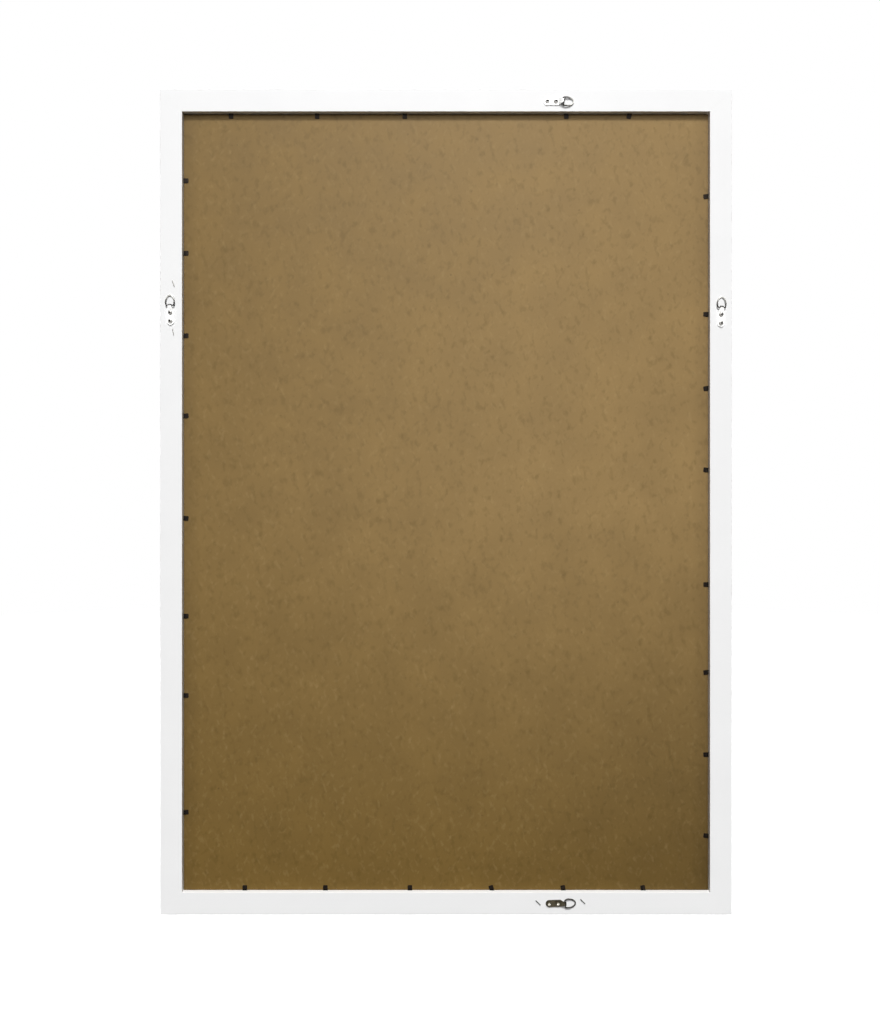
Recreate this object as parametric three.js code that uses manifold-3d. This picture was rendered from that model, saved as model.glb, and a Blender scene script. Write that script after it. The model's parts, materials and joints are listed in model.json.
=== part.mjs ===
// A wooden poster frame for a 27 x 40 inch sheet, with its glazing, backing, points and hangers.
// Millimetres, +Z up. The frame's back faces -Y and its front +Y. The origin is where the upright
// frame hangs: on the plane of the rails' backs, midway between the hooks in the two side rings.
import * as THREE from "three";
import { mergeVertices } from "three/addons/utils/BufferGeometryUtils.js";
import Module from "manifold-3d";

const wasm = await Module();
wasm.setup();

const INCH = 25.4;
const DEGREE = Math.PI / 180;

// Space left between two pieces that touch.
const GAP = 0.3;

// Number of flats in each curve or round, and the distance at which vertices count as one.
const FLATS = { rail: 4, point: 3, fold: 8, hole: 16, pilot: 12, wire: 4, ring: 44, screw: 16, crown: 4 };
const SAME_PLACE = 1e-4;

// The sheet that the frame is made for, and the rebate that takes it.
const SHEET = { width: 27 * INCH, height: 40 * INCH, thickness: 0.3 };
const REBATE_PLAY = INCH / 8;
const REBATE = { width: SHEET.width + REBATE_PLAY, height: SHEET.height + REBATE_PLAY };

// Section of the moulding: a plain square rail with a lip along the front of its inner edge.
const RAIL = {
  face: 1.375 * INCH,
  lip: 0.25 * INCH,
  depth: 0.75 * INCH,
  rebateDepth: 0.5 * INCH,
  frontRound: 1.6,
  backRound: 0.6,
};
RAIL.back = RAIL.face - RAIL.lip;

const OUTER = { width: REBATE.width + 2 * RAIL.back, height: REBATE.height + 2 * RAIL.back };

// Height of the hooks in the side rings above the middle of the frame.
const HOOKS_ABOVE_MIDDLE = 266;

const GLAZING_THICKNESS = 1.2;

// The back is sawn to all but fill the rebate.
const BOARD = { play: 0.8, thickness: 3 };

// V-nail: a folded strip of steel with a leg in each rail of the corner.
const NAIL = { leg: 9, thickness: 0.6, height: 9, below: 1.2, fromOuterEdge: 12 };

// Framer's point: the part of the strip that shows, lying on the board.
const POINT = { width: 6, length: 6.3, thickness: 0.4, corner: 0.9 };

// Strap hanger, measured from the strap's round end towards the ring.
const STRAP = {
  width: 9,
  thickness: 0.9,
  screws: [4.5, 15.8],
  hole: 2.2,
  riseFrom: 18.4,
  taperFrom: 17.5,
  bar: 24.85,
  tailTo: 21.8,
  foldWidth: 4.6,
};

// D-ring: round wire, bent to an egg shape on a short straight bar. The pulls are the lengths of
// its curves' handles at the bar's ends, at the widest place on either side, and at the round end.
const RING = {
  wire: 1.7,
  length: 13.8,
  halfWidth: 5.75,
  widestAt: 4.8,
  halfBar: 2.9,
  butt: 0.4,
  barPull: 2.05,
  widestPulls: [3, 4.6],
  tipPull: 3.6,
};

// Pan-head wood screw with a cross recess. The head's edge is upright up to its rim.
const SCREW = {
  head: 6,
  headHeight: 2.2,
  rim: 0.66,
  crownPull: 1.87,
  shank: 3,
  straight: 8,
  tip: 3,
  slot: 0.9,
  slotLength: 3.4,
};

const STAPLE = { crown: 8.5, wire: 0.7, width: 1, leg: 6 };

// The four sides, seen from the back. Each turns the lower rail a number of quarter turns, and
// its places run left to right, or upwards, from the middle of the side. A point has its place and
// the lean of its tip that way, in degrees. A hanger starts at the strap's round end, a distance
// from the rail's outer edge, with its ring to the right or up, and leans anticlockwise.
const SIDES = [
  {
    name: "bottom",
    startCorner: "bottom_left",
    quarterTurns: 0,
    length: OUTER.width,
    fromMiddle: OUTER.height / 2,
    points: [[-264, 0], [-158.3, 0], [-47.3, 0], [60.2, -16], [154, -9], [259, -12]],
    hanger: { at: 130, fromEdge: 14.5, lean: 1.5 },
    staples: [{ at: 120.2, fromEdge: 15.4, turn: -45 }, { at: 178.4, fromEdge: 17.1, turn: -45 }],
  },
  {
    name: "right",
    startCorner: "bottom_right",
    quarterTurns: 1,
    length: OUTER.height,
    fromMiddle: OUTER.width / 2,
    points: [
      [401.4, -8], [246.5, 0], [149.5, -10], [42, 6], [-108.2, 0], [-223.2, -7], [-331.3, -4], [-438.2, 8],
    ],
    hanger: { at: 228.5, fromEdge: 14.7, lean: -1.5 },
    staples: [],
  },
  {
    name: "top",
    startCorner: "top_right",
    quarterTurns: 2,
    length: OUTER.width,
    fromMiddle: OUTER.height / 2,
    points: [[-282, 0], [-169, 0], [-54, 0], [158, 0], [241, -14]],
    hanger: { at: 127.5, fromEdge: 15.9, lean: -0.5 },
    staples: [],
  },
  {
    name: "left",
    startCorner: "top_left",
    quarterTurns: 3,
    length: OUTER.height,
    fromMiddle: OUTER.width / 2,
    points: [
      [421.8, 0], [326.7, 0], [218.4, 0], [113, 5], [-21, -6], [-149.6, 0], [-253.8, 0], [-407.2, 4],
    ],
    hanger: { at: 231, fromEdge: 13.8, lean: 1 },
    staples: [{ at: 284.9, fromEdge: 17.4, turn: -71 }, { at: 222, fromEdge: 17.1, turn: -82 }],
  },
];

const MATERIALS = {
  paintedWood: new THREE.MeshStandardMaterial({ color: 0xf2f1ee, roughness: 0.5, metalness: 0 }),
  acrylic: new THREE.MeshStandardMaterial({
    color: 0xeef4f4, roughness: 0.05, metalness: 0, transparent: true, opacity: 0.25,
  }),
  paper: new THREE.MeshStandardMaterial({ color: 0xf4f1e8, roughness: 0.9, metalness: 0 }),
  hardboard: new THREE.MeshStandardMaterial({ color: 0x8a7045, roughness: 0.8, metalness: 0 }),
  blackSteel: new THREE.MeshStandardMaterial({ color: 0x16130f, roughness: 0.5, metalness: 0.8 }),
  platedSteel: new THREE.MeshStandardMaterial({ color: 0x9a9a8c, roughness: 0.35, metalness: 1 }),
  brightSteel: new THREE.MeshStandardMaterial({ color: 0xc9c7bd, roughness: 0.3, metalness: 1 }),
  bareSteel: new THREE.MeshStandardMaterial({ color: 0x8c8c8a, roughness: 0.45, metalness: 1 }),
};

// Joining and cutting solids.

function solidOf(geometry) {
  const bare = geometry.clone();
  bare.deleteAttribute("normal");
  bare.deleteAttribute("uv");
  const merged = mergeVertices(bare, SAME_PLACE);
  const mesh = new wasm.Mesh({
    numProp: 3,
    vertProperties: new Float32Array(merged.attributes.position.array),
    triVerts: new Uint32Array(merged.index.array),
  });
  return new wasm.Manifold(mesh);
}

function geometryOf(solid) {
  const mesh = solid.getMesh();
  const geometry = new THREE.BufferGeometry();
  geometry.setAttribute("position", new THREE.BufferAttribute(mesh.vertProperties, 3));
  geometry.setIndex(new THREE.BufferAttribute(mesh.triVerts, 1));
  geometry.computeVertexNormals();
  return geometry;
}

function cut(geometry, tools) {
  let solid = solidOf(geometry);
  tools.forEach((tool) => {
    solid = solid.subtract(solidOf(tool));
  });
  return geometryOf(solid);
}

function extrude(shape, depth, curveSegments = 1) {
  return new THREE.ExtrudeGeometry(shape, { depth, bevelEnabled: false, curveSegments });
}

// A strip of even thickness along a flat path, as a closed outline. At each of the path's points
// it is offset square to the mean of the two stretches that meet there.
function ribbon(path, thickness, divisions) {
  const middle = path.getPoints(divisions);
  const stretches = middle.slice(1).map((end, i) => end.clone().sub(middle[i]).normalize());
  const left = [];
  const right = [];
  middle.forEach((place, i) => {
    const before = stretches[Math.max(i - 1, 0)];
    const after = stretches[Math.min(i, stretches.length - 1)];
    const along = before.clone().add(after).normalize();
    const across = new THREE.Vector2(-along.y, along.x).multiplyScalar(thickness / 2);
    left.push(place.clone().add(across));
    right.push(place.clone().sub(across));
  });
  return new THREE.Shape([...right, ...left.reverse()]);
}

// Rails. In a side's own frame x runs along the rail, y inwards from its outer edge and z out of
// the frame's back, with z = 0 on the rail's back.

function railSection() {
  const { face, back, depth, rebateDepth, frontRound, backRound } = RAIL;
  const section = new THREE.Shape();
  section.moveTo(backRound, 0);
  section.absarc(backRound, -backRound, backRound, 90 * DEGREE, 180 * DEGREE, false);
  section.absarc(frontRound, frontRound - depth, frontRound, 180 * DEGREE, 270 * DEGREE, false);
  section.absarc(face - frontRound, frontRound - depth, frontRound, 270 * DEGREE, 360 * DEGREE, false);
  section.lineTo(face, -rebateDepth);
  section.lineTo(back, -rebateDepth);
  section.lineTo(back, 0);
  return section;
}

// The section is drawn with y as x, so the extrusion is turned to run along x, and each end is
// then drawn in by a point's distance from the outer edge, which gives a mitre of 45 degrees.
function railBlank(length) {
  const blank = extrude(railSection(), length, FLATS.rail);
  const places = blank.attributes.position;
  const endGap = (GAP / 2) * Math.SQRT2;
  for (let i = 0; i < places.count; i += 1) {
    const inward = places.getX(i);
    const height = places.getY(i);
    const halfLength = length / 2 - inward - endGap;
    const along = places.getZ(i) < length / 2 ? -halfLength : halfLength;
    places.setXYZ(i, along, inward, height);
  }
  return blank;
}

// V-nails, in the frame of the corner's rail that starts there: x and y run along the two legs.
function nailOutline(leg, thickness) {
  const half = thickness / 2;
  const outline = new THREE.Shape();
  outline.moveTo(-half, -half);
  outline.lineTo(leg, -half);
  outline.lineTo(leg, half);
  outline.lineTo(half, half);
  outline.lineTo(half, leg);
  outline.lineTo(-half, leg);
  outline.closePath();
  return outline;
}

function nail(grown) {
  const outline = nailOutline(NAIL.leg + grown, NAIL.thickness + 2 * grown);
  const body = extrude(outline, NAIL.height + 2 * grown);
  return body.translate(0, 0, -NAIL.below - NAIL.height - grown);
}

// Framer's points: driven in at a slight lean, so the sides slant while the bend stays parallel
// to the rebate's wall. y = 0 is the wall.
function pointOutline(lean) {
  const half = POINT.width / 2;
  const { length, corner } = POINT;
  const slant = lean * DEGREE;
  const axis = new THREE.Vector2(Math.sin(slant), Math.cos(slant));
  const across = new THREE.Vector2(axis.y, -axis.x);
  const spot = (out, side) =>
    new THREE.Vector2(0, GAP).addScaledVector(axis, out).addScaledVector(across, side);
  const outline = new THREE.Shape();
  outline.moveTo(-half / axis.y, GAP);
  outline.lineTo(half / axis.y, GAP);
  const right = spot(length - corner, half - corner);
  outline.absarc(right.x, right.y, corner, -slant, 90 * DEGREE - slant, false);
  const left = spot(length - corner, corner - half);
  outline.absarc(left.x, left.y, corner, 90 * DEGREE - slant, 180 * DEGREE - slant, false);
  outline.closePath();
  return outline;
}

// Strap hangers. In a hanger's own frame x runs from the strap's round end to the ring, y across
// the strap and z off the rail's back.

const LOOP_INSIDE = RING.wire / 2 + GAP;
const PLATE_MIDDLE = GAP + STRAP.thickness / 2;
const BAR_HEIGHT = GAP + STRAP.thickness + LOOP_INSIDE;
const LOOP_MIDDLE = LOOP_INSIDE + STRAP.thickness / 2;
const FOLD_END = STRAP.bar + LOOP_INSIDE + STRAP.thickness;

// Side view of the strap: flat on the rail, up over the bar, round it and back underneath.
function strapFold() {
  const { riseFrom, bar, tailTo } = STRAP;
  const rise = (bar - riseFrom) / 2;
  const top = BAR_HEIGHT + LOOP_MIDDLE;
  const fold = new THREE.Path();
  fold.moveTo(0, PLATE_MIDDLE);
  fold.lineTo(riseFrom, PLATE_MIDDLE);
  fold.bezierCurveTo(riseFrom + rise, PLATE_MIDDLE, bar - rise, top, bar, top);
  fold.absarc(bar, BAR_HEIGHT, LOOP_MIDDLE, 90 * DEGREE, -90 * DEGREE, true);
  fold.lineTo(tailTo, PLATE_MIDDLE);
  return fold;
}

// The strap from above: one end round, the other drawn in to pass between the ring's corners.
function strapPlan() {
  const half = STRAP.width / 2;
  const halfFold = STRAP.foldWidth / 2;
  const plan = new THREE.Shape();
  plan.moveTo(half, -half);
  plan.lineTo(STRAP.taperFrom, -half);
  plan.bezierCurveTo(STRAP.taperFrom + half, -half, STRAP.bar - half, -halfFold, STRAP.bar, -halfFold);
  plan.lineTo(FOLD_END + GAP, -halfFold);
  plan.lineTo(FOLD_END + GAP, halfFold);
  plan.lineTo(STRAP.bar, halfFold);
  plan.bezierCurveTo(STRAP.bar - half, halfFold, STRAP.taperFrom + half, half, STRAP.taperFrom, half);
  plan.lineTo(half, half);
  plan.absarc(half, 0, half, 90 * DEGREE, 270 * DEGREE, false);
  return plan;
}

function upright(radius, height, sides) {
  const rod = new THREE.CylinderGeometry(radius, radius, height, sides);
  return rod.rotateX(90 * DEGREE);
}

function strapGeometry() {
  const folded = extrude(ribbon(strapFold(), STRAP.thickness, FLATS.fold), STRAP.width);
  folded.rotateX(90 * DEGREE).translate(0, STRAP.width / 2, 0);
  const tallest = BAR_HEIGHT + LOOP_MIDDLE + STRAP.thickness;
  const trimmed = solidOf(folded).intersect(solidOf(extrude(strapPlan(), tallest, FLATS.fold)));
  const hole = upright(STRAP.hole, tallest, FLATS.hole);
  const holes = STRAP.screws.map((at) => hole.clone().translate(at, 0, 0));
  return cut(geometryOf(trimmed), holes);
}

// Middle line of the ring's wire: half the bar, a corner, a side and the round end, then back.
function ringPath() {
  const { length, halfWidth, widestAt, halfBar, butt, barPull, widestPulls } = RING;
  const flat = (x, y) => new THREE.Vector3(x, y, 0);
  const half = (side) => {
    const end = flat(0, (side * butt) / 2);
    const corner = flat(0, side * halfBar);
    const widest = flat(widestAt, side * halfWidth);
    const tip = flat(length, 0);
    const cornerPull = flat(0, side * (halfBar + barPull));
    const widestIn = flat(widestAt - widestPulls[0], side * halfWidth);
    const widestOut = flat(widestAt + widestPulls[1], side * halfWidth);
    const tipPull = flat(length, side * RING.tipPull);
    return { end, corner, widest, tip, cornerPull, widestIn, widestOut, tipPull };
  };
  const near = half(-1);
  const far = half(1);
  const path = new THREE.CurvePath();
  path.add(new THREE.LineCurve3(near.end, near.corner));
  path.add(new THREE.CubicBezierCurve3(near.corner, near.cornerPull, near.widestIn, near.widest));
  path.add(new THREE.CubicBezierCurve3(near.widest, near.widestOut, near.tipPull, near.tip));
  path.add(new THREE.CubicBezierCurve3(far.tip, far.tipPull, far.widestOut, far.widest));
  path.add(new THREE.CubicBezierCurve3(far.widest, far.widestIn, far.cornerPull, far.corner));
  path.add(new THREE.LineCurve3(far.corner, far.end));
  return path;
}

function ringGeometry() {
  const wire = new THREE.Shape();
  wire.absarc(0, 0, RING.wire / 2, 0, 360 * DEGREE, false);
  return new THREE.ExtrudeGeometry(wire, {
    steps: FLATS.ring,
    curveSegments: FLATS.wire,
    extrudePath: ringPath(),
  });
}

// The screw, with its head's underside at z = 0.
function screwGeometry() {
  const { head, headHeight, rim, crownPull, shank, straight, tip, slot, slotLength } = SCREW;
  const profile = new THREE.Path();
  profile.moveTo(0, -straight - tip);
  profile.lineTo(shank / 2, -straight);
  profile.lineTo(shank / 2, 0);
  profile.lineTo(head / 2, 0);
  profile.lineTo(head / 2, rim);
  profile.bezierCurveTo(head / 2, crownPull, head / 4, headHeight, 0, headHeight);
  const turned = new THREE.LatheGeometry(profile.getPoints(FLATS.crown), FLATS.screw).rotateX(90 * DEGREE);
  const arm = new THREE.BoxGeometry(slotLength, slot, headHeight).translate(0, 0, headHeight);
  return cut(turned, [arm, arm.clone().rotateZ(90 * DEGREE)]);
}

// Wire staple: the crown across the rail's back and two legs in the wood.
function stapleGeometry() {
  const { crown, wire, width, leg } = STAPLE;
  const half = crown / 2;
  const outline = new THREE.Shape();
  outline.moveTo(-half, GAP - leg);
  outline.lineTo(wire - half, GAP - leg);
  outline.lineTo(wire - half, GAP);
  outline.lineTo(half - wire, GAP);
  outline.lineTo(half - wire, GAP - leg);
  outline.lineTo(half, GAP - leg);
  outline.lineTo(half, GAP + wire / 2);
  outline.lineTo(half - wire / 2, GAP + wire);
  outline.lineTo(wire / 2 - half, GAP + wire);
  outline.lineTo(-half, GAP + wire / 2);
  outline.closePath();
  return extrude(outline, width).rotateX(90 * DEGREE).translate(0, width / 2, 0);
}

function stapleSlots() {
  const { crown, wire, width, leg } = STAPLE;
  const slot = new THREE.BoxGeometry(wire + 2 * GAP, width + 2 * GAP, 2 * leg);
  const out = crown / 2 - wire / 2;
  return [slot.clone().translate(-out, 0, 0), slot.clone().translate(out, 0, 0)];
}

// Assembly. The frame's group is drawn as seen from the back, x right, y up and z to the viewer,
// and then stood up.

const part = new THREE.Group();
const frame = new THREE.Group();
frame.rotation.x = 90 * DEGREE;
frame.position.z = -HOOKS_ABOVE_MIDDLE;
part.add(frame);

function add(group, name, geometry, material) {
  const mesh = new THREE.Mesh(geometry, material);
  mesh.name = name;
  group.add(mesh);
  return mesh;
}

// The stack between the lip and the points, front to back. Each sheet stands on the lower rail.
let front = -RAIL.rebateDepth + GAP;
function addSheet(name, play, thickness, material) {
  const sheet = new THREE.BoxGeometry(REBATE.width - play, REBATE.height - play, thickness);
  add(frame, name, sheet, material).position.set(0, GAP - play / 2, front + thickness / 2);
  front += thickness + GAP;
}
addSheet("glazing", REBATE_PLAY, GLAZING_THICKNESS, MATERIALS.acrylic);
addSheet("poster_sheet", REBATE_PLAY, SHEET.thickness, MATERIALS.paper);
addSheet("backing_board", BOARD.play, BOARD.thickness, MATERIALS.hardboard);
const pointFront = front;

const strap = strapGeometry();
const ring = ringGeometry();
const screw = screwGeometry();
const staple = stapleGeometry();
const ringRest = Math.asin((BAR_HEIGHT - RING.wire / 2 - GAP) / RING.length);
const screwSeat = 2 * GAP + STRAP.thickness;
const screwDepth = SCREW.straight + SCREW.tip + GAP;

SIDES.forEach((side) => {
  const forward = side.quarterTurns < 2 ? 1 : -1;
  const group = new THREE.Group();
  group.rotation.z = side.quarterTurns * 90 * DEGREE;
  group.position.set(0, -side.fromMiddle, 0).applyEuler(group.rotation);
  frame.add(group);
  const railCuts = [];

  side.points.forEach(([at, lean], i) => {
    const leaf = extrude(pointOutline(lean * forward), POINT.thickness, FLATS.point);
    const mesh = add(group, `point_${side.name}_${i + 1}`, leaf, MATERIALS.blackSteel);
    mesh.position.set(at * forward, RAIL.back, pointFront);
  });

  const hanger = new THREE.Group();
  hanger.position.set(side.hanger.at * forward, side.hanger.fromEdge, 0);
  hanger.rotation.z = (side.hanger.lean + (forward < 0 ? 180 : 0)) * DEGREE;
  hanger.updateMatrix();
  group.add(hanger);
  add(hanger, `hanger_strap_${side.name}`, strap, MATERIALS.platedSteel);
  const loop = add(hanger, `hanger_ring_${side.name}`, ring, MATERIALS.platedSteel);
  loop.position.set(STRAP.bar, 0, BAR_HEIGHT);
  loop.rotation.y = ringRest;
  STRAP.screws.forEach((at, i) => {
    const fixing = add(hanger, `hanger_screw_${side.name}_${i + 1}`, screw, MATERIALS.brightSteel);
    fixing.position.set(at, 0, screwSeat);
    const pilot = upright(SCREW.shank / 2 + GAP, 2 * screwDepth, FLATS.pilot);
    railCuts.push(pilot.translate(at, 0, screwSeat).applyMatrix4(hanger.matrix));
  });

  side.staples.forEach((place, i) => {
    const mesh = add(group, `staple_${side.name}_${i + 1}`, staple, MATERIALS.bareSteel);
    mesh.position.set(place.at * forward, place.fromEdge, 0);
    mesh.rotation.z = (place.turn - side.quarterTurns * 90) * DEGREE;
    mesh.updateMatrix();
    stapleSlots().forEach((slot) => railCuts.push(slot.applyMatrix4(mesh.matrix)));
  });

  // One leg of the nail at each of its corners lies in this rail.
  const cornerX = NAIL.fromOuterEdge - side.length / 2;
  const cornerNail = add(group, `corner_nail_${side.startCorner}`, nail(0), MATERIALS.bareSteel);
  cornerNail.position.set(cornerX, NAIL.fromOuterEdge, 0);
  const startSlot = nail(GAP).translate(cornerX, NAIL.fromOuterEdge, 0);
  const endSlot = nail(GAP).rotateZ(90 * DEGREE).translate(-cornerX, NAIL.fromOuterEdge, 0);
  railCuts.push(startSlot, endSlot);

  const rail = cut(railBlank(side.length), railCuts);
  add(group, `rail_${side.name}`, rail, MATERIALS.paintedWood);
});

export default part;
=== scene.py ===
import json
import math

import bmesh
import bpy
from mathutils import Matrix, Vector


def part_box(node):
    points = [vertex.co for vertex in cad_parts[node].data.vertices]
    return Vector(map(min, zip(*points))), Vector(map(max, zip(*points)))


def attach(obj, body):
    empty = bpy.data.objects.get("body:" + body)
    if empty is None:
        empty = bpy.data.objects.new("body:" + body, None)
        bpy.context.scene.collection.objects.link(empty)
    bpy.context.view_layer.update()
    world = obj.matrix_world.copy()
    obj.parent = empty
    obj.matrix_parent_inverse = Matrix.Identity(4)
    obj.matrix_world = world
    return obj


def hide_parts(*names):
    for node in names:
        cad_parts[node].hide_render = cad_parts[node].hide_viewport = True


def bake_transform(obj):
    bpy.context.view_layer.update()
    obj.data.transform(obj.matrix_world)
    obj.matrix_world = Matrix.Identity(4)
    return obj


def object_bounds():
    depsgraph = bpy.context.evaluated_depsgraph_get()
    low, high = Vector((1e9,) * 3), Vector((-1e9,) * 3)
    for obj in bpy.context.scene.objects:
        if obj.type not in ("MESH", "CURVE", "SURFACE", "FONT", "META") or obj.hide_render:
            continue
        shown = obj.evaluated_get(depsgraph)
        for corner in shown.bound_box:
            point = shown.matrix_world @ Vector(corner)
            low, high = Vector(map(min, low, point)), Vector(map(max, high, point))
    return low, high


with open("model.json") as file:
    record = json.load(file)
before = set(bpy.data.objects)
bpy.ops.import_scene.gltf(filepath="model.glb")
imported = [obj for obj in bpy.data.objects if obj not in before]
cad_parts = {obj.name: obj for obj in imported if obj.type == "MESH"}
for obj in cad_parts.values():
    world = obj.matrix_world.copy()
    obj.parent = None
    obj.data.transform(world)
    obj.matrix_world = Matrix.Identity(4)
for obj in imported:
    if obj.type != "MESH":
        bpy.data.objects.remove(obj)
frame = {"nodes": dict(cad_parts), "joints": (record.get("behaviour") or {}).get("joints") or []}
cad_low, cad_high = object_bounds()
bpy.ops.object.select_all(action="DESELECT")


# Rails.
# Softwood moulding with a rebate behind a front lip, sawn at 45 degrees, glued and nailed at the
# corners, then painted white, so that paint rounds each edge and all but fills the mitres.
MM = 0.001
INCH = 25.4 * MM
RAIL_BACK = 1.125 * INCH
LIP = 0.25 * INCH
RAIL_DEPTH = 0.75 * INCH
REBATE_DEPTH = 0.5 * INCH
FRONT_ROUND = 1.6 * MM
BACK_ROUND = 0.6 * MM
ARRIS_ROUND = 0.3 * MM
MITRE_EASE = 0.15 * MM
MITRE_GAP = 0.02 * MM
TOUCH = 0.01 * MM
FACING = 0.9
SMOOTH_BELOW = math.radians(35)
BACKWARDS = Vector((0, -1, 0))
FRAME_WIDTH = cad_high.x - cad_low.x
FRAME_HEIGHT = cad_high.z - cad_low.z
FRAME_MIDDLE = Vector((0, 0, (cad_low.z + cad_high.z) / 2))


def start_piece(name):
    """Names the primitive just added, puts its place into its mesh and opens it for editing."""
    piece = bpy.context.object
    piece.name = name
    bpy.ops.object.transform_apply(location=True, rotation=True, scale=True)
    bpy.ops.object.mode_set(mode="EDIT")
    return piece


def pick(kind, test):
    """Selects only the vertices, edges or faces whose middle passes the test."""
    bpy.ops.mesh.select_mode(type=kind)
    bpy.ops.mesh.select_all(action="DESELECT")
    mesh = bmesh.from_edit_mesh(bpy.context.object.data)
    for part in {"VERT": mesh.verts, "EDGE": mesh.edges, "FACE": mesh.faces}[kind]:
        corners = [part] if kind == "VERT" else part.verts
        middle = sum((corner.co for corner in corners), Vector()) / len(corners)
        if test(middle, part):
            part.select_set(True)
    bmesh.update_edit_mesh(bpy.context.object.data)


def cut(place, normal, **ends):
    """Cuts the whole mesh along a plane."""
    bpy.ops.mesh.select_all(action="SELECT")
    bpy.ops.mesh.bisect(plane_co=place, plane_no=normal, **ends)


def paint_faces(piece, material, test):
    """Gives a second material to the faces of a piece whose middle passes the test."""
    piece.data.materials.append(material)
    piece.active_material_index = len(piece.data.materials) - 1
    bpy.ops.object.mode_set(mode="EDIT")
    pick("FACE", test)
    bpy.ops.object.material_slot_assign()
    bpy.ops.object.mode_set(mode="OBJECT")


def take_up(piece):
    """Makes a piece the active one, and the only one selected."""
    bpy.ops.object.select_all(action="DESELECT")
    bpy.context.view_layer.objects.active = piece
    piece.select_set(True)


def finish_piece(piece, kind, **settings):
    """Adds a modifier with its settings to a piece and applies it."""
    modifier = piece.modifiers.new("finish", kind)
    for name, value in settings.items():
        setattr(modifier, name, value)
    take_up(piece)
    bpy.ops.object.modifier_apply(modifier=modifier.name)


def settle(piece, place):
    """Puts a finished piece in its place, which goes into its mesh, and smooths its curved faces."""
    take_up(piece)
    piece.matrix_world = place
    bpy.ops.object.transform_apply(location=True, rotation=True, scale=True)
    bpy.ops.object.shade_smooth_by_angle(angle=SMOOTH_BELOW)
    finish_piece(piece, "WEIGHTED_NORMAL", keep_sharp=True)
    piece.select_set(False)


def model_rail(name, length, out):
    """A rail below the origin: its outer edge is that long, and that far out from the frame's middle."""
    back_edge = RAIL_BACK - out
    lip_edge = back_edge + LIP
    bpy.ops.mesh.primitive_cube_add(
        size=1,
        location=(0, RAIL_DEPTH / 2, back_edge - RAIL_BACK / 2),
        scale=(length, RAIL_DEPTH, RAIL_BACK),
    )
    rail = start_piece(name)
    cut((0, REBATE_DEPTH, 0), (0, 1, 0))
    pick("FACE", lambda middle, face: face.normal.z > FACING and middle.y > REBATE_DEPTH)
    bpy.ops.mesh.extrude_region_move(TRANSFORM_OT_translate={"value": (0, 0, LIP)})
    for depth, height, ease, steps in (
        (RAIL_DEPTH, -out, FRONT_ROUND, 5),
        (RAIL_DEPTH, lip_edge, FRONT_ROUND, 5),
        (REBATE_DEPTH, lip_edge, ARRIS_ROUND, 2),
        (0, back_edge, ARRIS_ROUND, 3),
        (0, -out, BACK_ROUND, 3),
    ):
        pick("EDGE", lambda middle, edge: math.dist((middle.y, middle.z), (depth, height)) < TOUCH)
        bpy.ops.mesh.bevel(offset=ease, segments=steps, profile=0.5, affect="EDGES")
    for end in (-1, 1):
        corner = Vector((end * (length / 2 - MITRE_GAP), 0, -out))
        mitre = Vector((end, 0, 1)).normalized()
        cut(corner, mitre, use_fill=True, clear_outer=True)
        for depth in (0, RAIL_DEPTH):
            pick(
                "EDGE",
                lambda middle, edge: abs(middle.y - depth) < TOUCH
                and all(abs((vertex.co - corner).dot(mitre)) < TOUCH for vertex in edge.verts),
            )
            bpy.ops.mesh.bevel(offset=MITRE_EASE, segments=2, profile=0.5, affect="EDGES")
    bpy.ops.mesh.select_all(action="SELECT")
    bpy.ops.mesh.remove_doubles(threshold=TOUCH)
    bpy.ops.object.mode_set(mode="OBJECT")
    return rail


def srgb(code):
    """An sRGB hex colour as linear red, green, blue and alpha."""
    channels = [int(code[i : i + 2], 16) / 255 for i in (1, 3, 5)]
    linear = [c / 12.92 if c <= 0.04045 else ((c + 0.055) / 1.055) ** 2.4 for c in channels]
    return (*linear, 1)


def new_material(name):
    """A new material, its node tree, its shader and the socket of its Object coordinates."""
    material = bpy.data.materials.new(name)
    material.use_nodes = True
    tree = material.node_tree
    place = tree.nodes.new("ShaderNodeTexCoord")
    return material, tree, tree.nodes["Principled BSDF"], place.outputs["Object"]


def add_node(tree, kind, settings, links):
    """Adds a node. Settings are its own or its inputs' values, and links are the sockets that feed it."""
    node = tree.nodes.new("ShaderNode" + kind)
    for name, value in settings.items():
        if hasattr(node, str(name)):
            setattr(node, name, value)
        else:
            node.inputs[name].default_value = value
    for name, source in links.items():
        tree.links.new(source, node.inputs[name])
    return node


# Satin white paint, sprayed over wood: a soft sheen, the ghost of the grain along the rail, a faint
# unevenness in tone, and grey rubs along the outer back edge. The grain is drawn a little coarse.
PAINT = "#f4f4f4"
PAINT_THIN = "#efefef"
PAINT_RUBBED = "#c9c5bc"
GRAIN_LENGTH = 70 * MM
GRAIN_WIDTH = 0.9 * MM
PAINT_CLOUD = 55 * MM
RUB = 14 * MM
RUB_REACH = 1.6 * MM
RUB_STRENGTH = 0.45
RUB_EDGES = (0.52, 0.7)


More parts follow.
